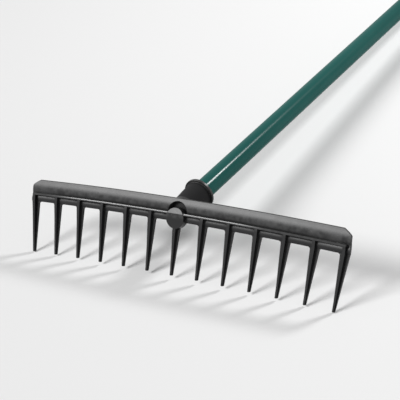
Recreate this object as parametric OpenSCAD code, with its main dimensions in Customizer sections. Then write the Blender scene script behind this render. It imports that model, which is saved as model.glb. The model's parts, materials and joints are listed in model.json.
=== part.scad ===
// Garden rake: a one-piece moulded head on a plastic-coated steel tube handle.
// The rake lies on a floor, tines down, on its two end tines and the end of its handle.
// The head is drawn in its own frame first: X along the head, Y towards the back, Z up the tines,
// with the origin on the front of the ledge. The whole rake is then laid down on the floor.

/* [Head] */
// Width of the head
head_w = 400; // [300:1:520]
// Number of tines, odd so that one stands under the socket
tine_count = 13; // [7:2:17]
// How far the middle of the head is arched above its end tines
camber = 3.8; // [1:0.1:10]
// Depth of the web below the top of the ledge
web_h = 9.6; // [5:0.1:12]
// Wall of the web and of the tines' flanges
wall = 2.8; // [2:0.1:4]
// Thickness of the ledge
ledge_t = 2.2; // [1.4:0.1:3]
// How far the ledge stands in front of the ribs
ledge_proud = 0.6; // [0.1:0.1:1]
// How far the ledge runs past the end ribs
ledge_over = 0.3; // [0.1:0.1:1]
// Lean of the ledge's front face
ledge_lean = 14; // [0:1:30]
// What is left of the ledge past its ends
ledge_stub = 0.3; // [0.1:0.05:0.5]

/* [Tines] */
// Length of a tine below the top of the ledge
tine_l = 66; // [45:0.5:90]
// How far the end tines' tips lean towards the middle
toe_in = 5.2; // [0:0.1:8]
// Width of a tine's flange at its root
flange_root_w = 10; // [7:0.1:14]
// Width of a tine's flange at its tip
flange_tip_w = 2.6; // [2.4:0.1:6]
// Width of a tine's rib at the ledge
rib_root_w = 3.4; // [2.4:0.1:5]
// Width of a tine's rib at its tip
rib_tip_w = 1.6; // [1.2:0.1:3.2]
// How far a rib stands in front of its flange at the ledge
rib_root_d = 3.6; // [2.6:0.1:6]
// How far a rib stands in front of its flange at its tip
rib_tip_d = 1.6; // [1:0.1:2.5]
// Thickness of a tine's flange at its tip
flange_tip_t = 1.6; // [1.2:0.1:2.4]
// How far the flanges' faces lie inside the web's
flange_inset = 0.15; // [0.05:0.05:0.4]
// Chamfer round the tip of a tine
tip_chamfer = 0.8; // [0.3:0.1:1.2]
// Fillet between a tine and the web
window_fillet = 2; // [0.5:0.1:4]

/* [Crown] */
// Height of the crown above the ledge
crown_h = 15; // [12:0.1:22]
// Thickness of the crown
crown_t = 2.4; // [2:0.1:3]
// How far the crown's foot is set back from the web's front
crown_setback = 0.2; // [0.1:0.05:0.4]
// How far the crown runs past the end tines
crown_over = 0.3; // [0.1:0.1:2]
// How far the crown bulges forwards between its foot and its top
crown_bulge = 1.2; // [0.4:0.1:2.5]
// How far the top of the crown stands behind its foot
crown_lean = 1.2; // [0:0.1:4]
// Width of the crown's cut corners
corner_w = 9.2; // [4:0.1:14]
// Height of the crown's cut corners
corner_h = 6.2; // [3:0.1:10]

/* [Socket] */
// Angle of the handle above the plane square to the tines
handle_rise = 29.5; // [20:0.5:40]
// How far below the ledge the handle's axis meets the front of the ribs
axis_drop = 3.6; // [0:0.1:6]
// Length of the socket from the front of the ribs to its mouth
socket_l = 48; // [40:0.5:70]
// Depth of the solid foot of the socket, in front of the tube's foot
nose_l = 16; // [15.5:0.1:20]
// Radius of the socket's cone at the front of the ribs
cone_foot_r = 12; // [11.8:0.1:15]
// Radius of the round nose
nose_r = 11; // [9:0.1:14]
// How far the middle of the nose lies below the top of the ledge
nose_drop = 6; // [3:0.1:8]
// How far the nose stands in front of the ribs
nose_proud = 1.2; // [0.8:0.1:3]
// Lean of the nose's upper face
nose_top_lean = 12; // [0:1:30]
// Lean of the nose's lower face
nose_under_lean = 6; // [0:1:20]
// Radius of the hollow over the nose, at the front of the ribs
hollow_r = 13.2; // [12:0.1:13.6]
// Radius of the hollow's floor
hollow_floor_r = 10.2; // [9:0.1:10.4]
// Depth of the hollow over the nose, behind the front of the web
hollow_d = 4.9; // [3:0.1:5]
// Wall of the socket at its mouth
socket_wall = 4; // [2.5:0.1:6]
// Width of the collar round the socket's mouth
collar_w = 3.2; // [2:0.1:6]
// How far the collar stands out from the socket
collar_h = 2.2; // [0.8:0.1:3]
// Chamfer of the collar's edges
collar_chamfer = 0.6; // [0.2:0.1:0.8]

/* [Handle] */
// Length of the steel tube
tube_l = 1200; // [800:10:1600]
// Outside diameter of the handle over its coat
handle_d = 22; // [19:0.1:26]
// Wall of the steel tube
tube_wall = 0.8; // [0.5:0.1:1.5]
// Outside diameter of the tapered foot over its coat
foot_d = 16.4; // [14:0.1:18]
// Thickness of the plastic coat
coat_t = 0.5; // [0.3:0.1:1]

/* [Hanger cap] */
// Length of the cap's plug inside the tube
plug_l = 28; // [12:1:50]
// Length of the cap's round collar
cap_collar_l = 8; // [3:0.5:20]
// Distance from the cap's collar to the hanging hole
hang_reach = 13; // [8:0.5:30]
// Diameter of the hanging hole
hang_hole_d = 9; // [5:0.1:11]
// Thickness of the cap's tongue
tongue_t = 12; // [6:0.1:14]
// How far the cap lies inside the handle's outside
cap_inset = 0.2; // [0.1:0.1:1]

/* [Screw] */
// Distance of the screw from the front of the ribs, along the handle
screw_place = 28; // [22:0.5:36]
// Diameter of the screw
screw_d = 4; // [3:0.1:5]
// Length of the screw below its head
screw_l = 11; // [8:0.5:14]
// Length of the screw's point
screw_point_l = 3; // [1:0.1:4]
// Diameter of the screw's head
screw_head_d = 7.6; // [6:0.1:9]
// Height of the screw's domed head
screw_head_h = 2.4; // [1.6:0.1:4]
// Height of the rim round the screw's head
screw_rim_h = 1; // [0.5:0.1:1.4]
// Length of the cross recess in the screw's head
recess_l = 4.6; // [3:0.1:5]
// Width of the cross recess
recess_w = 1; // [0.6:0.1:1.4]
// Depth of the cross recess
recess_d = 1.3; // [0.5:0.1:1.4]
// How deep the screw's flat seat is cut into the socket
screw_seat_d = 0.8; // [0.5:0.1:1.2]

/* [Fits] */
// Gap between the coat and the socket
socket_gap = 0.15; // [0.05:0.01:0.4]
// Glue line between the coat and the tube
coat_gap = 0.03; // [0.01:0.01:0.1]
// Gap between the tube's foot and the socket's floor
foot_gap = 0.2; // [0.05:0.05:0.6]
// Gap between the cap's plug and the tube
plug_gap = 0.1; // [0.05:0.01:0.4]
// Gap round the screw's shank
screw_gap = 0.15; // [0.05:0.01:0.4]
// Gap round the screw's head
screw_head_gap = 0.6; // [0.3:0.1:1.5]

/* [Hidden] */
$fn = 64;
// Steps along each arc of the crown's section
arc_steps = 8;
// How far joined shapes reach into each other
lap = 0.3;
// How far a cut reaches past what it cuts
over = 10;

// Head
half_w = head_w / 2;
tines_each_side = (tine_count - 1) / 2;
end_x = half_w - crown_over - flange_root_w / 2;
pitch = end_x / tines_each_side;
arch_r = (end_x * end_x + camber * camber) / (2 * camber);
back_y = rib_root_d + wall;
flange_face_y = rib_root_d + flange_inset;
flange_back_y = back_y - flange_inset;
tip_back_y = flange_face_y + flange_tip_t;
rib_back_y = rib_root_d + wall / 2;
hollow_floor_y = rib_root_d + hollow_d;
ledge_end_x = end_x + rib_root_w / 2 + ledge_over;

// Crown, as an arc between its foot and its top
foot_front = -rib_root_d - crown_setback;
chord = norm([crown_h, crown_lean]);
bulge_r = chord * chord / (8 * crown_bulge) + crown_bulge / 2;
bulge_back = bulge_r - crown_bulge;
bulge_z = crown_h / 2 - bulge_back * crown_lean / chord;
bulge_front = foot_front - crown_lean / 2 - bulge_back * crown_h / chord;
bulge_centre = [bulge_z, bulge_front];
top_a = atan2(foot_front - crown_lean - bulge_front, crown_h - bulge_z);

// Socket and handle, measured along the handle's axis from the front of the ribs
coat_r = handle_d / 2;
foot_coat_r = foot_d / 2;
tube_r = coat_r - coat_t - coat_gap;
foot_tube_r = foot_coat_r - coat_t - coat_gap;
bore_r = coat_r + socket_gap;
foot_bore_r = foot_coat_r + socket_gap;
mouth_r = bore_r + socket_wall;
foot_s = nose_l + foot_gap;
taper_l = socket_l - foot_s;
top_s = foot_s + tube_l;
screw_seat_y = cone_r(screw_place) - screw_seat_d;

// Hanger cap
cap_r = coat_r - cap_inset;
hang_s = top_s + cap_collar_l + hang_reach;

// Lying on the floor: the back edge of an end tine's tip and the round end of the cap both touch it
hang_y = hang_s * cos(handle_rise);
hang_z = hang_s * sin(handle_rise) - axis_drop;
tip_z = -tine_l - camber;
tip_front_y = rib_root_d - rib_tip_d;
span = norm([hang_y - tip_back_y, hang_z - tip_z]);
lie_a = atan2(hang_z - tip_z, hang_y - tip_back_y) - asin(cap_r / span);
lift = tip_back_y * sin(lie_a) - tip_z * cos(lie_a);
front_most = min(laid_y(tip_front_y, tip_z + tip_chamfer), laid_y(tip_front_y + tip_chamfer, tip_z));
back_most = laid_y(hang_y, hang_z) + cap_r;

function cone_r(s) = cone_foot_r + (mouth_r - cone_foot_r) * s / socket_l;
function tine_x(place) = place * pitch;
function tine_lean(place) = -toe_in * place / tines_each_side;
function arc(centre, r, a0, a1) =
    [for (i = [0 : arc_steps]) let (a = a0 + (a1 - a0) * i / arc_steps) centre + r * [cos(a), sin(a)]];
function droop(x) = arch_r - sqrt(arch_r * arch_r - x * x);
function laid_y(y, z) = y * cos(lie_a) + z * sin(lie_a);

// Lays the head's own frame down on the floor, with the origin under the middle of the rake
module laid_down() {
    translate([0, -(front_most + back_most) / 2, lift]) rotate([-lie_a, 0, 0]) children();
}

// Z runs up the handle from the front of the ribs, and Y points out of its underside
module on_handle() {
    translate([0, 0, -axis_drop]) rotate([handle_rise - 90, 0, 0]) children();
}

// Runs a section along the head's arch, straight between the tines, from end to end.
// The section's points are heights above the ledge and distances in front of the ribs.
module along_arch(section, end) {
    stations = concat(-end, [for (place = [-tines_each_side : tines_each_side]) tine_x(place)], end);
    n = len(section);
    last = n * (len(stations) - 1);
    polyhedron(
        points = [for (x = stations, p = section) [x, -p[1], p[0] - droop(x)]],
        faces = concat(
            [[for (i = [n - 1 : -1 : 0]) i]],
            [for (s = [0 : n : last - n], i = [0 : n - 1])
                [s + i, s + (i + 1) % n, s + n + (i + 1) % n, s + n + i]],
            [[for (i = [0 : n - 1]) last + i]]
        )
    );
}

// Extrudes a front view, x and z, from the depth y0 to y1
module front_view(y0, y1) {
    translate([0, y1, 0]) rotate([90, 0, 0]) linear_extrude(y1 - y0) children();
}

// Extrudes a side view, y and z, over a width that is centred on the head
module side_view(width) {
    translate([-width / 2, 0, 0]) rotate([90, 0, 90]) linear_extrude(width) children();
}

// The bar's section: the web's front, the ledge's leaning front, the crown's front from its foot up,
// the crown's round top and its back, and the web's back
bar_section = concat(
    [[-web_h, -rib_root_d], [-ledge_t, -rib_root_d]],
    [[-ledge_t, ledge_proud], [0, ledge_proud - ledge_t * tan(ledge_lean)]],
    arc(bulge_centre, bulge_r, acos(-bulge_z / bulge_r), top_a),
    arc(
        bulge_centre + (bulge_r - crown_t / 2) * [cos(top_a), sin(top_a)],
        crown_t / 2, top_a - 180 / arc_steps, top_a - 180 + 180 / arc_steps
    ),
    arc(bulge_centre, bulge_r - crown_t, top_a, acos(-bulge_z / (bulge_r - crown_t))),
    [[-ledge_t, -back_y], [-web_h, -back_y]]
);

// What is cut off the crown's right top corner
module corner_cut() {
    corner_top = crown_h - droop(half_w - corner_w);
    front_view(-over, back_y + crown_lean + over)
        polygon([
            [half_w - 2 * corner_w, corner_top + corner_h],
            [half_w + corner_w, corner_top - 2 * corner_h],
            [half_w + corner_w, corner_top + corner_h]
        ]);
}

// What is cut off the ledge past the right end rib
module ledge_cut() {
    front_view(-over, rib_root_d - ledge_stub)
        polygon([
            [ledge_end_x, ledge_stub - droop(ledge_end_x)],
            [half_w + over, ledge_stub - droop(ledge_end_x)],
            [half_w + over, -droop(half_w) - ledge_t - over],
            [ledge_end_x, -droop(half_w) - ledge_t - over]
        ]);
}

// The crown, the ledge and the web
module bar() {
    difference() {
        along_arch(bar_section, half_w);
        for (side = [0, 1]) mirror([side, 0, 0]) {
            corner_cut();
            ledge_cut();
        }
    }
}

// The hollow in the crown over the nose, narrower towards its floor
module hollow() {
    intersection() {
        rotate([-90, 0, 0]) cylinder(h = hollow_floor_y, r1 = hollow_r, r2 = hollow_floor_r);
        side_view(head_w) translate([-over, 0]) square([2 * over, crown_h]);
    }
}

// One corner fillet under the web, to the right of a tine's root
module fillet() {
    difference() {
        translate([-lap, -window_fillet]) square([window_fillet + lap, window_fillet + lap]);
        translate([window_fillet, -window_fillet]) circle(window_fillet);
    }
}

// The front view of a tine's flange, with its tip moved sideways by the lean
module flange(lean) {
    root = flange_root_w / 2;
    tip = flange_tip_w / 2;
    polygon([
        [-root, -ledge_t],
        [root, -ledge_t],
        [root, -web_h],
        [lean + tip, tip_chamfer - tine_l],
        [lean + tip - tip_chamfer, -tine_l],
        [lean - tip + tip_chamfer, -tine_l],
        [lean - tip, tip_chamfer - tine_l],
        [-root, -web_h]
    ]);
}

// The rib down the front of a tine
module rib(lean) {
    rib_end = tip_chamfer / 2;
    intersection() {
        front_view(-over, back_y)
            polygon([
                [-rib_root_w / 2, -ledge_t / 2],
                [rib_root_w / 2, -ledge_t / 2],
                [lean + rib_tip_w / 2, rib_end - tine_l],
                [lean - rib_tip_w / 2, rib_end - tine_l]
            ]);
        side_view(head_w)
            polygon([
                [0, 0],
                [rib_back_y, 0],
                [rib_back_y, -tine_l],
                [tip_front_y + tip_chamfer, -tine_l],
                [tip_front_y, tip_chamfer - tine_l]
            ]);
    }
}

// A tine: its flange with the fillets under the web, thinner towards its tip, and its rib
module tine(place) {
    translate([tine_x(place), 0, -droop(tine_x(place))]) {
        intersection() {
            front_view(flange_face_y, flange_back_y) {
                flange(tine_lean(place));
                if (place < tines_each_side)
                    translate([flange_root_w / 2, -web_h]) fillet();
                if (place > -tines_each_side)
                    translate([-flange_root_w / 2, -web_h]) mirror([1, 0]) fillet();
            }
            side_view(head_w)
                polygon([
                    [flange_face_y - lap, 0],
                    [flange_back_y + lap, 0],
                    [flange_back_y + lap, -web_h],
                    [tip_back_y, -tine_l],
                    [flange_face_y - lap, -tine_l - lap]
                ]);
        }
        rib(tine_lean(place));
    }
}

// The round nose in front of the web, cut to two flat faces that meet at the ledge
module nose() {
    reach = 2 * nose_r;
    ridge_z = -ledge_t / 2;
    nose_back_y = hollow_floor_y + lap;
    intersection() {
        front_view(-over, nose_back_y) translate([0, -nose_drop]) circle(nose_r);
        side_view(head_w)
            polygon([
                [-nose_proud, ridge_z],
                [reach * tan(nose_top_lean) - nose_proud, ridge_z + reach],
                [nose_back_y + lap, ridge_z + reach],
                [nose_back_y + lap, -nose_drop],
                [back_y - lap, -nose_drop - nose_r],
                [back_y - lap, ridge_z - reach],
                [reach * tan(nose_under_lean) - nose_proud, ridge_z - reach]
            ]);
    }
}

// The socket's cone, from inside the web
module cone() {
    cone_front_y = back_y - crown_t / 2;
    intersection() {
        on_handle()
            translate([0, 0, -over])
                cylinder(h = over + socket_l, r1 = cone_r(-over), r2 = mouth_r);
        side_view(head_w)
            translate([cone_front_y, -head_w / 2]) square(head_w);
    }
}

module collar() {
    collar_r = mouth_r + collar_h;
    inner_r = mouth_r - socket_wall / 2;
    on_handle()
        translate([0, 0, socket_l - collar_w])
            rotate_extrude()
                polygon([
                    [inner_r, 0],
                    [collar_r - collar_chamfer, 0],
                    [collar_r, collar_chamfer],
                    [collar_r, collar_w - collar_chamfer],
                    [collar_r - collar_chamfer, collar_w],
                    [inner_r, collar_w]
                ]);
}

module socket_bore() {
    on_handle() {
        translate([0, 0, nose_l]) cylinder(h = foot_gap + lap, r = foot_bore_r);
        translate([0, 0, foot_s])
            cylinder(h = taper_l + over, r1 = foot_bore_r, r2 = bore_r + over * (bore_r - foot_bore_r) / taper_l);
        on_screw() cylinder(h = screw_l, r = screw_d / 2 + screw_gap);
        translate([0, screw_seat_y, screw_place])
            rotate([-90, 0, 0])
                cylinder(h = over, d = screw_head_d + 2 * screw_head_gap);
    }
}

// Z points out of the screw's head, from the end of its point
module on_screw() {
    translate([0, screw_seat_y - screw_l, screw_place]) rotate([-90, 0, 0]) children();
}

module rake_head() {
    color([0.13, 0.13, 0.14])
        laid_down()
            difference() {
                union() {
                    difference() {
                        union() {
                            bar();
                            cone();
                        }
                        hollow();
                    }
                    for (place = [-tines_each_side : tines_each_side]) tine(place);
                    nose();
                    collar();
                }
                socket_bore();
            }
}

// A tube wall that tapers at its foot, and has a hole for the screw
module tapered_tube(r, foot_r, thickness) {
    on_handle()
        difference() {
            rotate_extrude()
                polygon([
                    [foot_r - thickness, foot_s],
                    [foot_r, foot_s],
                    [r, socket_l],
                    [r, top_s],
                    [r - thickness, top_s],
                    [r - thickness, socket_l]
                ]);
            on_screw() cylinder(h = screw_l + over, r = screw_d / 2 + screw_gap);
        }
}

module handle_tube() {
    color([0.62, 0.63, 0.65]) laid_down() tapered_tube(tube_r, foot_tube_r, tube_wall);
}

module handle_sleeve() {
    color([0.03, 0.25, 0.22]) laid_down() tapered_tube(coat_r, foot_coat_r, coat_t);
}

// The screw's head with its dome and its cross recess
module screw_head() {
    dome_h = screw_head_h - screw_rim_h;
    dome_r = (screw_head_d * screw_head_d / 4 + dome_h * dome_h) / (2 * dome_h);
    difference() {
        intersection() {
            cylinder(h = screw_head_h, d = screw_head_d);
            translate([0, 0, screw_head_h - dome_r]) sphere(dome_r);
        }
        for (turn = [0, 90])
            rotate(turn)
                translate([-recess_l / 2, -recess_w / 2, screw_head_h - recess_d])
                    cube([recess_l, recess_w, screw_head_h]);
    }
}

module fixing_screw() {
    color([0.75, 0.75, 0.77])
        laid_down()
            on_handle()
                on_screw() {
                    cylinder(h = screw_point_l, r1 = 0, r2 = screw_d / 2);
                    translate([0, 0, screw_point_l]) cylinder(h = screw_l - screw_point_l, d = screw_d);
                    translate([0, 0, screw_l]) screw_head();
                }
}

module hanger_cap() {
    flat_s = top_s + cap_collar_l;
    color([0.11, 0.11, 0.12])
        laid_down()
            on_handle() {
                translate([0, 0, top_s - plug_l])
                    cylinder(h = plug_l + lap, r = tube_r - tube_wall - plug_gap);
                translate([0, 0, top_s]) cylinder(h = cap_collar_l, r = cap_r);
                difference() {
                    intersection() {
                        translate([0, 0, flat_s - lap]) cylinder(h = hang_reach + cap_r + lap, r = cap_r);
                        side_view(tongue_t) {
                            translate([-cap_r, flat_s - lap]) square([2 * cap_r, hang_reach + lap]);
                            translate([0, hang_s]) circle(cap_r);
                        }
                    }
                    translate([-cap_r, 0, hang_s]) rotate([0, 90, 0]) cylinder(h = 2 * cap_r, d = hang_hole_d);
                }
            }
}

rake_head();
handle_tube();
handle_sleeve();
fixing_screw();
hanger_cap();
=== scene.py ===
"""Garden rake: a moulded black head on a green coated tube, lying on its tines and handle end."""

import json
import math

import bmesh
import bpy
from mathutils import Matrix, Vector

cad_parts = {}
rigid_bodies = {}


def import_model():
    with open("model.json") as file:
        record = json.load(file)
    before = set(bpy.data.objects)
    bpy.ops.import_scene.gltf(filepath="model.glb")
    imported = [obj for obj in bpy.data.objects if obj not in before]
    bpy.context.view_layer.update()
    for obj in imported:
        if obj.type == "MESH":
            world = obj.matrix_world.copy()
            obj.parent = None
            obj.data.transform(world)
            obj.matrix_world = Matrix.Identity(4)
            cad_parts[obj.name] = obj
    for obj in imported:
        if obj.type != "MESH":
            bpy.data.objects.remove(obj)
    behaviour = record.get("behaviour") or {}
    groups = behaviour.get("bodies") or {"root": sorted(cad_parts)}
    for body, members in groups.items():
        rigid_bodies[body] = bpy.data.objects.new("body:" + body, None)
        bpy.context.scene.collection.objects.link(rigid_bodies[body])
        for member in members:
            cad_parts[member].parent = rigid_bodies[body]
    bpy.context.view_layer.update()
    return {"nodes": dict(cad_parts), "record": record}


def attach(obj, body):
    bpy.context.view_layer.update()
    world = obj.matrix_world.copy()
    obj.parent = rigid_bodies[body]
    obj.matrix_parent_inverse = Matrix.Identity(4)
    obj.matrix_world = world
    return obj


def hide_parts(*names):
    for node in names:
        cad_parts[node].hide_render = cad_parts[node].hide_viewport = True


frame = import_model()
scene = bpy.context.scene

MM = 0.001

# Head sizes, in the head's own frame: X along the head, Y towards its back, Z up the tines,
# with the origin on the front of the ribs at the top of the ledge
HEAD_W = 400 * MM
TINES_EACH_SIDE = 6
CAMBER = 3.8 * MM
WEB_H = 9.6 * MM
WEB_BULGE = 0.6 * MM
WALL = 2.8 * MM
LEDGE_T = 2.2 * MM
LEDGE_PROUD = 0.6 * MM
LEDGE_OVER = 0.3 * MM
LEDGE_LEAN = math.radians(14)
TINE_L = 66 * MM
TOE_IN = 5.2 * MM
FLANGE_ROOT_W = 10 * MM
FLANGE_TIP_W = 2.6 * MM
FLANGE_TIP_T = 1.6 * MM
FLANGE_INSET = 0.15 * MM
RIB_ROOT_W = 3.4 * MM
RIB_TIP_W = 1.6 * MM
RIB_ROOT_D = 3.6 * MM
RIB_TIP_D = 1.6 * MM
TIP_ROUND = 0.8 * MM
WINDOW_FILLET = 2 * MM
CROWN_H = 15 * MM
CROWN_T = 2.4 * MM
CROWN_SETBACK = 0.2 * MM
CROWN_OVER = 0.3 * MM
CROWN_BULGE = 1.2 * MM
CROWN_LEAN = 1.2 * MM
CORNER_W = 9.2 * MM
CORNER_H = 6.2 * MM
CORNER_CURVE = 0.25

# Socket sizes, along the handle from the front of the ribs
HANDLE_RISE = math.radians(29.5)
AXIS_DROP = 3.6 * MM
SOCKET_L = 48 * MM
NOSE_L = 16 * MM
CONE_FOOT_R = 12 * MM
NOSE_R = 11 * MM
NOSE_DROP = 6 * MM
NOSE_PROUD = 1.2 * MM
NOSE_TOP_LEAN = math.radians(12)
NOSE_UNDER_LEAN = math.radians(6)
HOLLOW_R = 13.2 * MM
HOLLOW_FLOOR_R = 10.2 * MM
HOLLOW_D = 4.9 * MM
SOCKET_WALL = 4 * MM
SOCKET_GAP = 0.15 * MM
COLLAR_W = 3.2 * MM
COLLAR_H = 2.2 * MM
COLLAR_ROUND = 0.7 * MM
SCREW_PLACE = 28 * MM
SCREW_SEAT_D = 0.8 * MM
SCREW_SEAT_R = 4.4 * MM

# Handle sizes
HANDLE_R = 11 * MM
FOOT_R = 8.2 * MM
FOOT_GAP = 0.2 * MM
TUBE_L = 1200 * MM
COAT_T = 0.5 * MM

# Edge roundings of the mouldings
EDGE_ROUND = 0.35 * MM
TINE_EDGE_ROUND = 0.45 * MM
CAP_EDGE_ROUND = 0.8 * MM

# Fineness of the meshes: steps round a turn, along the head and handle, and over small forms
TURN_STEPS = 96
SEAT_STEPS = 48
HEAD_STEPS = 49
HANDLE_STEPS = 25
FACE_STEPS = 13
TINE_STEPS = 12
CORNER_STEPS = 9
ROUND_STEPS = 7
FILLET_STEPS = 5

# Limits for mesh repairs, where a larger sliver would open the head's mesh, and, in degrees,
# for smooth shading
SLIVER = 0.0001 * MM
SAME_POINT = 0.01 * MM
WELD_REACH = 0.005 * MM
SMOOTH_LIMIT = 32

# Spans of the black finish: the ledge's polish, the ends without dull creases of painted shade,
# the lower edge of the rubbed patches with their painted sheen, and the matt cone
POLISH_MIDDLE = -30 * MM
POLISH_FULL = 95 * MM
POLISH_GONE = 150 * MM
ENDS_START = 150 * MM
ENDS_FULL = 180 * MM
RUB_AND_SHEEN_FADE = 4 * MM
MATT_START = 15 * MM
MATT_FADE = 3 * MM
COLLAR_FADE = 0.5 * MM
LEDGE_FADE = 0.2 * MM

# Colours
BLACK_DARK = (0.003, 0.003, 0.0034, 1)
BLACK_PALE = (0.007, 0.007, 0.0076, 1)
# Painted shade: the near-black that creases and the hollow over the nose are darkened towards
BLACK_PAINTED_SHADE = (0.003, 0.003, 0.003, 1)
# Grey of the scuffs near the floor, and of the rubbed patches high up that are partly a painted
# sheen
WORN_AND_SHEEN_GREY = (0.10, 0.10, 0.10, 1)
GREEN_DARK = (0.002, 0.068, 0.060, 1)
GREEN_PALE = (0.005, 0.102, 0.088, 1)
GREEN_HAIR = (0.05, 0.16, 0.14, 1)
STEEL = (0.55, 0.56, 0.58)
ZINC = (0.66, 0.66, 0.68)
FLOOR_WHITE = (0.8, 0.8, 0.8, 1)
WHITE = (1, 1, 1, 1)

# The camera that fits the photograph: metres, degrees and millimetres
CAMERA_PLACE = (0.66798, -1.36999, 0.66054)
CAMERA_TURN = (59.064, 11.8624, 32.5573)
CAMERA_LENS = 103.0
CAMERA_SENSOR = 36

# Sizes that follow from those above
HALF_W = HEAD_W / 2
END_X = HALF_W - CROWN_OVER - FLANGE_ROOT_W / 2
PITCH = END_X / TINES_EACH_SIDE
ARCH_R = (END_X**2 + CAMBER**2) / (2 * CAMBER)
BACK_Y = RIB_ROOT_D + WALL
HOLLOW_FLOOR_Y = RIB_ROOT_D + HOLLOW_D
FLANGE_ROOT_T = WALL - 2 * FLANGE_INSET
MOUTH_R = HANDLE_R + SOCKET_GAP + SOCKET_WALL
FOOT_S = NOSE_L + FOOT_GAP
TOP_S = FOOT_S + TUBE_L

# How far cutters overrun, and how far joined forms run into each other
OVER = 10 * MM
LAP = 0.3 * MM

# The head's place comes from the handle's own mount in the frame, halfway up the bare handle
grip = next(m for m in frame["record"]["mounts"] if m["name"] == "handle_grip")
grip_s = (SOCKET_L + TOP_S) / 2
handle_slope = math.atan2(grip["axis"][2], grip["axis"][1])
Z_TO_Y = Matrix.Rotation(-math.pi / 2, 4, "X")
Z_TO_HANDLE = Matrix.Rotation(HANDLE_RISE - math.pi / 2, 4, "X")
HEAD_TO_AXIS = Matrix.Translation((0, 0, -AXIS_DROP)) @ Z_TO_HANDLE
HEAD_TO_NOSE = Matrix.Translation((0, 0, -NOSE_DROP)) @ Z_TO_Y
HEAD = (
    Matrix.Translation(grip["pos_m"])
    @ Matrix.Rotation(handle_slope - HANDLE_RISE, 4, "X")
    @ Matrix.Translation(-(HEAD_TO_AXIS @ Vector((0, 0, grip_s))))
)
HANDLE = HEAD @ HEAD_TO_AXIS

# Where the socket's matt cone starts and where its collar starts, along Y
CONE_Y = HEAD.translation.y + MATT_START
COLLAR_Y = (HANDLE @ Vector((0, 0, SOCKET_L - COLLAR_W))).y


def droop(x):
    """How far the arched head hangs below its middle, at x."""
    return ARCH_R - math.sqrt(ARCH_R**2 - x**2)


def steps(start, end, count):
    """Evenly spaced values from start to end, both included."""
    return [start + (end - start) * i / (count - 1) for i in range(count)]


def arc(centre, r, start, end, count):
    """Points on an arc in a plane, with the angles in degrees."""
    turns = [math.radians(a) for a in steps(start, end, count)]
    return [(centre[0] + r * math.cos(a), centre[1] + r * math.sin(a)) for a in turns]


def loft(rings, join_ends=False):
    """A closed skin over rings of points. Its ends are capped, or joined to each other."""
    bm = bmesh.new()
    rows = [[bm.verts.new(p) for p in ring] for ring in rings]
    for a, b in zip(rows, rows[1:] + rows[:1] if join_ends else rows[1:]):
        for i in range(len(a)):
            j = (i + 1) % len(a)
            bm.faces.new((a[i], a[j], b[j], b[i]))
    if not join_ends:
        bm.faces.new(rows[0])
        bm.faces.new(rows[-1])
    bmesh.ops.recalc_face_normals(bm, faces=bm.faces)
    return bm


def turned(profile, segments):
    """A solid turned about Z from a closed profile of radii and heights."""
    turns = [2 * math.pi * i / segments for i in range(segments)]
    rings = [[(r * math.cos(a), r * math.sin(a), z) for r, z in profile] for a in turns]
    return loft(rings, join_ends=True)


def rod(r, start, end, segments, end_r=None):
    """A round bar along Z, or a frustum where its end has a radius of its own. It starts half a
    step round, so that its points miss those of the forms it meets."""
    turns = [2 * math.pi * (i + 0.5) / segments for i in range(segments)]
    ends = ((r, start), (end_r or r, end))
    rings = [[(size * math.cos(a), size * math.sin(a), z) for a in turns] for size, z in ends]
    return loft(rings)


def slice_off(bm, point, normal):
    """Cuts away what lies beyond a plane, and closes the cut."""
    every = bm.verts[:] + bm.edges[:] + bm.faces[:]
    cut = bmesh.ops.bisect_plane(bm, geom=every, plane_co=point, plane_no=normal, clear_outer=True)
    rim = [e for e in cut["geom_cut"] if isinstance(e, bmesh.types.BMEdge)]
    bmesh.ops.edgeloop_fill(bm, edges=rim)
    bmesh.ops.recalc_face_normals(bm, faces=bm.faces)


def piece(name, bm, place=None):
    """An object in the scene from a bmesh."""
    mesh = bpy.data.meshes.new(name)
    bm.to_mesh(mesh)
    bm.free()
    if place:
        mesh.transform(place)
    made = bpy.data.objects.new(name, mesh)
    scene.collection.objects.link(made)
    return made


def round_edges(obj, width, limit=35, segments=3):
    """Rounds the edges of an object that are sharper than the limit, in degrees."""
    bevel = obj.modifiers.new("edges", "BEVEL")
    bevel.width = width
    bevel.segments = segments
    bevel.limit_method = "ANGLE"
    bevel.angle_limit = math.radians(limit)
    bevel.miter_outer = "MITER_ARC"
    bevel.use_clamp_overlap = True


def combine(obj, operation, others):
    """Adds other objects to an object, or takes their shapes out of it."""
    group = bpy.data.collections.new(operation)
    for other in others:
        group.objects.link(other)
    boolean = obj.modifiers.new(operation, "BOOLEAN")
    boolean.operation = operation
    boolean.solver = "EXACT"
    boolean.operand_type = "COLLECTION"
    boolean.collection = group


def finished(name, obj, place):
    """What an object's modifiers make of it, as a new object. The old one and its operands go."""
    bpy.context.view_layer.update()
    bm = bmesh.new()
    bm.from_mesh(obj.evaluated_get(bpy.context.evaluated_depsgraph_get()).to_mesh())
    bmesh.ops.dissolve_degenerate(bm, edges=bm.edges, dist=SLIVER)
    groups = [m.collection for m in obj.modifiers if m.type == "BOOLEAN"]
    for done in [obj] + [other for group in groups for other in group.objects]:
        bpy.data.objects.remove(done)
    for group in groups:
        bpy.data.collections.remove(group)
    return piece(name, bm, place)


def smooth(obj):
    """Smooth shading that breaks at sharp edges and keeps flat faces flat."""
    obj.data.shade_smooth()
    obj.data.set_sharp_from_angle(angle=math.radians(SMOOTH_LIMIT))
    weighted = obj.modifiers.new("flats", "WEIGHTED_NORMAL")
    weighted.keep_sharp = True


# The head


def crown_front(z):
    """How far back the crown's bulged front lies at a height above the ledge."""
    rise = z / CROWN_H
    return RIB_ROOT_D + CROWN_SETBACK + CROWN_LEAN * rise - 4 * CROWN_BULGE * rise * (1 - rise)


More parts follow.
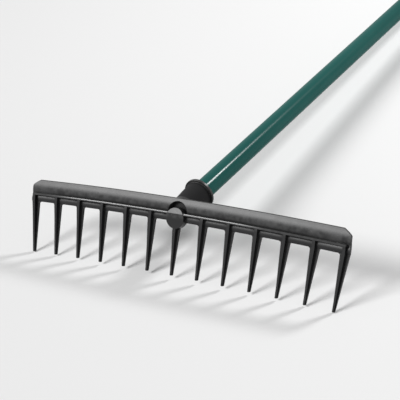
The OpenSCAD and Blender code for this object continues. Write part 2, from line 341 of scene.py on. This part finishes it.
def bar_ring(x, crown_h):
    """The outline of the web and the crown at x, with the crown as high as given."""
    round_z = crown_h - CROWN_T / 2
    heights = steps(0, round_z, FACE_STEPS)
    middle = (crown_front(round_z) + CROWN_T / 2, round_z)
    top = arc(middle, CROWN_T / 2, 180, 0, FACE_STEPS)
    web = [
        (RIB_ROOT_D - WEB_BULGE * 4 * u * (1 - u), -WEB_H + (WEB_H - LEDGE_T) * u)
        for u in steps(0, 1, CORNER_STEPS)
    ]
    outline = web + [(crown_front(z), z) for z in heights[:-1]] + top
    outline += [(crown_front(z) + CROWN_T, z) for z in reversed(heights[:-1])]
    outline += [(BACK_Y, -LEDGE_T), (BACK_Y, -WEB_H)]
    return [(x, y, z - droop(x)) for y, z in outline]


def crown_top(x):
    """The crown's height above the ledge at x, with its corners cut off in a slight curve."""
    run = max(abs(x) - HALF_W + CORNER_W, 0) / CORNER_W
    quarter_round = 1 - math.sqrt(1 - min(run, 1) ** 2)
    return CROWN_H - CORNER_H * ((1 - CORNER_CURVE) * run + CORNER_CURVE * quarter_round)


def bar():
    """The web and the crown above it, with cut corners."""
    ends = [HALF_W - CORNER_W * (1 - u) for u in steps(0, 1, CORNER_STEPS)]
    between = steps(-ends[0], ends[0], HEAD_STEPS)[1:-1]
    stations = [-x for x in reversed(ends)] + between + ends
    made = piece("bar", loft([bar_ring(x, crown_top(x)) for x in stations]))
    round_edges(made, EDGE_ROUND)
    return made


def ledge():
    """The thin ledge along the foot of the crown, with a front that leans back a little."""
    reach = END_X + RIB_ROOT_W / 2 + LEDGE_OVER
    inside = RIB_ROOT_D + WALL / 2
    lean = LEDGE_T * math.tan(LEDGE_LEAN)
    outline = [(-LEDGE_PROUD, -LEDGE_T), (lean - LEDGE_PROUD, 0), (inside, 0), (inside, -LEDGE_T)]
    rings = [[(x, y, z - droop(x)) for y, z in outline] for x in steps(-reach, reach, HEAD_STEPS)]
    made = piece("ledge", loft(rings))
    round_edges(made, EDGE_ROUND)
    return made


def hollow_cutter():
    """What is cut out of the crown over the nose, narrower towards its floor."""
    bm = rod(HOLLOW_R, 0, HOLLOW_FLOOR_Y, TURN_STEPS, HOLLOW_FLOOR_R)
    bm.transform(Z_TO_Y)
    slice_off(bm, (0, 0, -LAP), (0, 0, -1))
    return piece("hollow", bm)


def tine(place):
    """A tine: a T in section, with fillets where its flange leaves the web."""
    x0 = place * PITCH
    lean = -TOE_IN * place / TINES_EACH_SIDE
    depths = [LEDGE_T / 2, WEB_H - WINDOW_FILLET / 2]
    turns = [math.radians(a) for a in steps(0, 90, ROUND_STEPS)]
    depths += [WEB_H + WINDOW_FILLET * (1 - math.cos(a)) for a in turns]
    depths += steps(WEB_H + WINDOW_FILLET, TINE_L - TIP_ROUND, TINE_STEPS)[1:]
    depths += [TINE_L - TIP_ROUND * (1 - math.sin(math.radians(a))) for a in (30, 60, 90)]
    rings = []
    for depth in depths:
        run = min(max((depth - WEB_H) / (TINE_L - WEB_H), 0), 1)
        fall = depth / TINE_L
        tip = max(depth - TINE_L + TIP_ROUND, 0) / TIP_ROUND
        tuck = TIP_ROUND * (1 - math.sqrt(max(1 - tip**2, 0)))
        edge = FLANGE_ROOT_W / 2 + (FLANGE_TIP_W - FLANGE_ROOT_W) / 2 * run - tuck
        up = min(max((WEB_H + WINDOW_FILLET - depth) / WINDOW_FILLET, 0), 1)
        flare = WINDOW_FILLET * (1 - math.sqrt(1 - up**2))
        left = edge + (flare if place > -TINES_EACH_SIDE else 0)
        right = edge + (flare if place < TINES_EACH_SIDE else 0)
        rib = (RIB_ROOT_W + (RIB_TIP_W - RIB_ROOT_W) * fall) / 2 - tuck / 2
        front = (RIB_ROOT_D - RIB_TIP_D) * fall + tuck
        face = RIB_ROOT_D + FLANGE_INSET
        back = face + FLANGE_ROOT_T + (FLANGE_TIP_T - FLANGE_ROOT_T) * run - tuck / 2
        mid = x0 + lean * run
        outline = [(-rib, front), (rib, front), (rib, face), (right, face)]
        outline += [(right, back), (-left, back), (-left, face), (-rib, face)]
        rings.append([(mid + x, y, -depth - droop(x0)) for x, y in outline])
    made = piece("tine", loft(rings))
    round_edges(made, TINE_EDGE_ROUND, limit=40)
    return made


def cone_r(s):
    """The socket's radius along the handle."""
    return CONE_FOOT_R + (MOUTH_R - CONE_FOOT_R) * s / SOCKET_L


def nose():
    """The round nose before the socket, cut to two flat faces that meet in a ridge at the ledge."""
    back = HOLLOW_FLOOR_Y + LAP
    bm = rod(NOSE_R, -OVER, back, TURN_STEPS)
    bm.transform(HEAD_TO_NOSE)
    ridge = (0, -NOSE_PROUD, -LEDGE_T / 2)
    foot = Vector((0, BACK_Y - LAP, -NOSE_DROP - NOSE_R - LAP))
    slice_off(bm, foot, (0, NOSE_R, foot.y - back))
    slice_off(bm, ridge, (0, -math.cos(NOSE_TOP_LEAN), math.sin(NOSE_TOP_LEAN)))
    slice_off(bm, ridge, (0, -math.cos(NOSE_UNDER_LEAN), -math.sin(NOSE_UNDER_LEAN)))
    made = piece("nose", bm)
    round_edges(made, EDGE_ROUND, limit=16)
    return made


def socket():
    """The flared socket behind the crown, with a brim round its mouth."""
    collar_s = SOCKET_L - COLLAR_W
    brim = MOUTH_R + COLLAR_H - COLLAR_ROUND
    cone_end = collar_s - COLLAR_ROUND
    foot_r = FOOT_R + SOCKET_GAP
    profile = [(0, -OVER)] + [(cone_r(s), s) for s in steps(-OVER, cone_end, CORNER_STEPS)]
    profile += arc((cone_r(collar_s) + COLLAR_ROUND, cone_end), COLLAR_ROUND, 150, 90, FILLET_STEPS)
    profile += arc((brim, collar_s + COLLAR_ROUND), COLLAR_ROUND, -90, 0, ROUND_STEPS)
    profile += arc((brim, SOCKET_L - COLLAR_ROUND), COLLAR_ROUND, 0, 90, ROUND_STEPS)
    profile += [(HANDLE_R + SOCKET_GAP, SOCKET_L), (foot_r, FOOT_S), (foot_r, NOSE_L), (0, NOSE_L)]
    bm = turned(profile, TURN_STEPS)
    bmesh.ops.remove_doubles(bm, verts=bm.verts, dist=SAME_POINT)
    bm.transform(HEAD_TO_AXIS)
    slice_off(bm, (0, BACK_Y - CROWN_T / 2, 0), (0, -1, 0))
    made = piece("socket", bm)
    round_edges(made, EDGE_ROUND, limit=25)
    return made


def seat_cutter():
    """The flat seat for the screw's head, on the underside of the socket."""
    seat = cone_r(SCREW_PLACE) - SCREW_SEAT_D
    bm = rod(SCREW_SEAT_R, seat, seat + OVER, SEAT_STEPS)
    bm.transform(HEAD_TO_AXIS @ Matrix.Translation((0, 0, SCREW_PLACE)) @ Z_TO_Y)
    return piece("seat", bm)


def rake_head():
    """The whole head, as one moulding."""
    crown = bar()
    tines = [tine(place) for place in range(-TINES_EACH_SIDE, TINES_EACH_SIDE + 1)]
    combine(crown, "UNION", [socket()])
    combine(crown, "DIFFERENCE", [hollow_cutter(), seat_cutter()])
    combine(crown, "UNION", [ledge(), nose(), *tines])
    return finished("rake_head_moulding", crown, HEAD)


# The handle


def coat():
    """The green coat over the tube, with a rounded top edge."""
    lip = COAT_T / 2
    profile = [(FOOT_R - COAT_T, FOOT_S), (FOOT_R, FOOT_S)]
    profile += [(HANDLE_R, s) for s in steps(SOCKET_L, TOP_S - lip, HANDLE_STEPS)]
    profile += arc((HANDLE_R - lip, TOP_S - lip), lip, 0, 180, ROUND_STEPS)[1:]
    profile += [(HANDLE_R - COAT_T, SOCKET_L)]
    return piece("green_coat", turned(profile, TURN_STEPS), HANDLE)


# Finishes


class Wire:
    """A node's output. Arithmetic on it adds Math nodes."""

    def __init__(self, net, socket):
        self.net = net
        self.socket = socket

    def math(self, operation, *terms):
        """The output of a Math node that has this wire as its first term."""
        sockets = {i: term for i, term in enumerate((self, *terms))}
        return self.net.node("ShaderNodeMath", {"operation": operation}, sockets)

    def __add__(self, other):
        return self.math("ADD", other)

    def __radd__(self, other):
        return self.math("ADD", other)

    def __sub__(self, other):
        return self.math("SUBTRACT", other)

    def __rsub__(self, other):
        return (self * -1) + other

    def __mul__(self, other):
        return self.math("MULTIPLY", other)

    def __rmul__(self, other):
        return self.math("MULTIPLY", other)


class Net:
    """A node tree, and the nodes that are added to it."""

    def __init__(self, tree):
        self.tree = tree

    def node(self, kind, settings=None, sockets=None, out=0):
        """Adds a node: its settings first, then the values or wires of its sockets."""
        made = self.tree.nodes.new(kind)
        for key, value in (settings or {}).items():
            setattr(made, key, value)
        for key, value in (sockets or {}).items():
            self.feed(made.inputs[key], value)
        return Wire(self, made.outputs[out])

    def feed(self, socket, value):
        """Sets a socket to a value, or joins a wire to it."""
        if isinstance(value, Wire):
            self.tree.links.new(value.socket, socket)
        else:
            socket.default_value = value


class Finish(Net):
    """A material with one Principled shader, and the nodes that feed it."""

    def __init__(self, name, **constants):
        self.material = bpy.data.materials.new(name)
        self.material.use_nodes = True
        super().__init__(self.material.node_tree)
        self.shader = self.tree.nodes["Principled BSDF"]
        self.drive(**constants)

    def drive(self, **sockets):
        """Feeds the shader's sockets with values or wires."""
        for socket, value in sockets.items():
            self.feed(self.shader.inputs[socket.replace("_", " ")], value)

    def place(self, stretch=(1, 1, 1)):
        """The point on the surface in metres, stretched along the axes."""
        point = self.node("ShaderNodeTexCoord", out="Object")
        return self.node("ShaderNodeVectorMath", {"operation": "MULTIPLY"}, {0: point, 1: stretch})

    def noise(self, size, detail=3.0, stretch=(1, 1, 1)):
        """Soft noise with spots of about the given size, in metres, from 0 to 1."""
        sockets = {"Vector": self.place(stretch), "Scale": 1 / size, "Detail": detail}
        return self.node("ShaderNodeTexNoise", {}, sockets)

    def band(self, value, low, high):
        """0 below low and 1 above high, with a smooth step between."""
        sockets = {"Value": value, "From Min": low, "From Max": high}
        return self.node("ShaderNodeMapRange", {"interpolation_type": "SMOOTHSTEP"}, sockets)

    def along(self, axis):
        """Where the point lies along one axis, in metres."""
        return self.node("ShaderNodeSeparateXYZ", {}, {0: self.place()}, out=axis)

    def mix(self, share, a, b):
        """A colour between two colours, which are the node's sockets 6 and 7."""
        return self.node("ShaderNodeMix", {"data_type": "RGBA"}, {0: share, 6: a, 7: b}, out=2)

    def crease(self, reach):
        """0 on open faces, rising towards 1 in creases and hollows."""
        settings = {"samples": 8, "only_local": True}
        return 1 - self.node("ShaderNodeAmbientOcclusion", settings, {"Distance": reach}, out="AO")

    def bump(self, height, depth):
        """A bumped normal from heights between 0 and 1, as deep as given, in metres."""
        sockets = {"Height": height, "Distance": depth, "Strength": 1.0}
        return self.node("ShaderNodeBump", {}, sockets)


def in_head(finish, axis):
    """Where the point lies along one of the head's own axes, in metres."""
    towards = HEAD.col["XYZ".index(axis)].xyz
    sockets = {0: finish.place(), 1: towards}
    reach = finish.node("ShaderNodeVectorMath", {"operation": "DOT_PRODUCT"}, sockets, out="Value")
    return reach - towards.dot(HEAD.translation)


def ledge_gloss(finish):
    """Roughness that the ledge's front adds: matt below, and polished above along its middle."""
    side = in_head(finish, "X").math("ABSOLUTE")
    height = in_head(finish, "Z") + side * side * (0.5 / ARCH_R)
    beside_nose = finish.band(side, NOSE_R - LEDGE_FADE, NOSE_R)
    over_foot = finish.band(height, -LEDGE_T, LEDGE_FADE - LEDGE_T)
    under_top = 1 - finish.band(height, 0, LEDGE_FADE)
    in_front = 1 - finish.band(in_head(finish, "Y"), LEDGE_FADE, 3 * LEDGE_FADE)
    off_middle = (in_head(finish, "X") - POLISH_MIDDLE).math("ABSOLUTE")
    along_middle = 1 - finish.band(off_middle, POLISH_FULL, POLISH_GONE)
    polish = along_middle * finish.band(height, -0.7 * LEDGE_T, -0.4 * LEDGE_T)
    return beside_nose * over_foot * under_top * in_front * (0.32 - polish * 0.55)


def moulded_black(name, grain, scuff_top, rub_and_sheen_from):
    """Black plastic, satin on the head's bar and collar and matt on its cone. It has a mould
    grain, cloudy gloss, rubbed patches high up that also carry a painted sheen, scuffs near the
    floor, and creases that are duller and darkened with painted shade, except at the head's ends."""
    finish = Finish(name, Specular_IOR_Level=0.34)
    cloud = finish.noise(18 * MM, 4.0)
    speck = finish.noise(grain, 2.0)
    fleck = finish.band(finish.noise(2.4 * MM, 3.0), 0.64, 0.76)
    scratch = finish.band(finish.noise(0.5 * MM, 2.0, (1, 0.12, 0.12)), 0.56, 0.68)
    low = 1 - finish.band(finish.along("Z"), 0.3 * scuff_top, scuff_top)
    # Height above which the rubbed patches begin, which are partly a painted sheen on the top
    high = finish.band(finish.along("Z"), rub_and_sheen_from, rub_and_sheen_from + RUB_AND_SHEEN_FADE)
    on_cone = finish.band(finish.along("Y"), CONE_Y, CONE_Y + MATT_FADE)
    on_collar = finish.band(finish.along("Y"), COLLAR_Y - COLLAR_FADE, COLLAR_Y + COLLAR_FADE)
    matt = on_cone * (1 - on_collar)
    scuff = low * scratch * finish.band(cloud, 0.35, 0.6)
    patch = finish.band(finish.noise(6 * MM, 5.0), 0.3, 0.75)
    # Rubbed patches high up: real wear, and partly a painted sheen that lightens the top of the
    # crown and the cap
    rub_and_sheen = high * (1 - matt) * (patch * 0.5 + fleck * 0.5)
    ends = finish.band(in_head(finish, "X").math("ABSOLUTE"), ENDS_START, ENDS_FULL)
    # Painted shade: creases and the hollow are darkened towards near-black by an occlusion measure,
    # and made duller, except at the head's ends
    painted_crease_shade = finish.band(finish.crease(8 * MM), 0.2, 0.55) * (1 - ends)
    black = finish.mix(cloud, BLACK_DARK, BLACK_PALE)
    # Scuff wear, and the rubbed patches with their painted sheen, turn the black towards grey
    worn_and_sheen = finish.mix(scuff * 0.6 + rub_and_sheen * 0.8, black, WORN_AND_SHEEN_GREY)
    gloss_loss = cloud * 0.08 + speck * 0.05 + scuff * 0.2 + rub_and_sheen * 0.1 + matt * 0.6 + painted_crease_shade * 0.5
    finish.drive(
        Base_Color=finish.mix(painted_crease_shade, worn_and_sheen, BLACK_PAINTED_SHADE),
        Roughness=0.26 + gloss_loss + ledge_gloss(finish),
        Normal=finish.bump(speck + rub_and_sheen * 0.5, 0.02 * MM),
    )
    return finish.material


def green_plastic(name):
    """A glossy dark green coat with long drawn streaks and a faint orange peel."""
    finish = Finish(name, Coat_Roughness=0.18, Specular_IOR_Level=0.0)
    streak = finish.noise(1.4 * MM, 3.0, (1, 0.02, 1))
    cloud = finish.noise(35 * MM, 3.0, (1, 0.3, 1))
    peel = finish.noise(2.2 * MM, 2.0)
    drawn = finish.noise(0.3 * MM, 2.0, (1, 0.01, 1))
    hair = finish.band(drawn, 0.66, 0.74) * finish.band(cloud, 0.5, 0.7)
    shade = streak * 0.35 + cloud * 0.65
    green = finish.mix(shade, GREEN_DARK, GREEN_PALE)
    finish.drive(
        Base_Color=finish.mix(hair * 0.25, green, GREEN_HAIR),
        Roughness=0.20 + streak * 0.08 + hair * 0.15,
        Coat_Weight=0.27 + cloud * 0.1,
        Normal=finish.bump(peel * 0.7 + streak * 0.3, 0.006 * MM),
    )
    return finish.material


def plain_metal(name, colour, rough, stretch):
    """Bare or plated metal with fine drawn marks and cloudy gloss."""
    finish = Finish(name, Metallic=1.0)
    mark = finish.noise(0.4 * MM, 3.0, stretch)
    cloud = finish.noise(4 * MM, 3.0)
    dark = tuple(c * 0.72 for c in colour)
    finish.drive(
        Base_Color=finish.mix(mark * 0.5 + cloud * 0.5, (*dark, 1), (*colour, 1)),
        Roughness=rough + mark * 0.12 + cloud * 0.08,
        Normal=finish.bump(mark, 0.01 * MM),
    )
    return finish.material


def dress(obj, material):
    """Gives an object one material."""
    obj.data.materials.clear()
    obj.data.materials.append(material)


head = rake_head()
smooth(head)
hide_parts("rake_head")
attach(head, "root")
# The head's rubbed patches, partly a painted sheen, start 56 mm up, on the crown
dress(head, moulded_black("head_plastic", grain=0.7 * MM, scuff_top=24 * MM, rub_and_sheen_from=56 * MM))

sleeve = coat()
smooth(sleeve)
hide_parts("handle_sleeve")
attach(sleeve, "root")
dress(sleeve, green_plastic("green_coat"))

nodes = frame["nodes"]
steel = plain_metal("tube_steel", STEEL, rough=0.3, stretch=(1, 0.02, 1))
zinc = plain_metal("screw_zinc", ZINC, rough=0.25, stretch=(1, 1, 1))
# The cap's rubbed patches, partly a painted sheen, start 16 mm up, on its top
cap_black = moulded_black("cap_plastic", grain=0.5 * MM, scuff_top=6 * MM, rub_and_sheen_from=16 * MM)
dress(nodes["handle_tube"], steel)
dress(nodes["fixing_screw"], zinc)
dress(nodes["hanger_cap"], cap_black)
for name in ("hanger_cap", "fixing_screw"):
    weld = nodes[name].modifiers.new("weld", "WELD")
    weld.merge_threshold = WELD_REACH
round_edges(nodes["hanger_cap"], CAP_EDGE_ROUND)
round_edges(nodes["fixing_screw"], EDGE_ROUND, segments=2)

# Floor, light and camera


def floor():
    """A wide pale floor that takes the rake's shadow."""
    half = 6.0
    corners = [(-half, -half, 0), (half, -half, 0), (half, half, 0), (-half, half, 0)]
    bm = bmesh.new()
    bm.faces.new([bm.verts.new(c) for c in corners])
    made = piece("floor", bm)
    finish = Finish("floor_paint", Base_Color=FLOOR_WHITE, Roughness=0.9, Specular_IOR_Level=0.1)
    dress(made, finish.material)


def softbox(name, place, target, size, radiance, length):
    """A rectangular lamp that glows evenly at the target, with its second size along the length."""
    lamp = bpy.data.lights.new(name, "AREA")
    lamp.shape = "RECTANGLE"
    lamp.size, lamp.size_y = size
    lamp.energy = radiance * math.pi * size[0] * size[1]
    made = bpy.data.objects.new(name, lamp)
    back = (Vector(place) - Vector(target)).normalized()
    side = Vector(length).cross(back).normalized()
    made.rotation_euler = Matrix((side, back.cross(side), back)).transposed().to_euler()
    made.location = place
    scene.collection.objects.link(made)


def sun(name, towards, light, spread):
    """A far lamp that lights everything evenly, as wide across as the spread, in degrees."""
    lamp = bpy.data.lights.new(name, "SUN")
    lamp.energy = light
    lamp.angle = math.radians(spread)
    made = bpy.data.objects.new(name, lamp)
    made.rotation_euler = Vector(towards).to_track_quat("Z", "Y").to_euler()
    scene.collection.objects.link(made)


def white_surround(light):
    """An even surround for the light, which shows as white behind the rake and in its gloss."""
    world = bpy.data.worlds.new("surround")
    world.use_nodes = True
    scene.world = world
    net = Net(world.node_tree)
    rays = ("Is Camera Ray", "Is Glossy Ray", "Is Transmission Ray")
    camera, glossy, through = [net.node("ShaderNodeLightPath", out=ray) for ray in rays]
    seen = (camera + glossy + through).math("MINIMUM", 1)
    background = net.tree.nodes["Background"]
    net.feed(background.inputs["Color"], WHITE)
    net.feed(background.inputs["Strength"], seen * (1 - light) + light)


def photo_camera():
    """The camera where the photograph was taken from."""
    lens = bpy.data.cameras.new("camera")
    lens.lens = CAMERA_LENS
    lens.sensor_width = CAMERA_SENSOR
    lens.clip_start = 0.01
    made = bpy.data.objects.new("camera", lens)
    made.location = CAMERA_PLACE
    made.rotation_euler = [math.radians(a) for a in CAMERA_TURN]
    scene.collection.objects.link(made)
    scene.camera = made


floor()
sun("key", towards=(-0.53, -0.5, 0.68), light=2.4, spread=26)
softbox(
    "back",
    place=(1.05, 1.2, 1.5),
    target=HEAD.translation,
    size=(0.42, 0.3),
    radiance=77.0,
    length=(0.57, 0, 0.82),
)
white_surround(light=0.3)
photo_camera()

scene.view_settings.view_transform = "Standard"
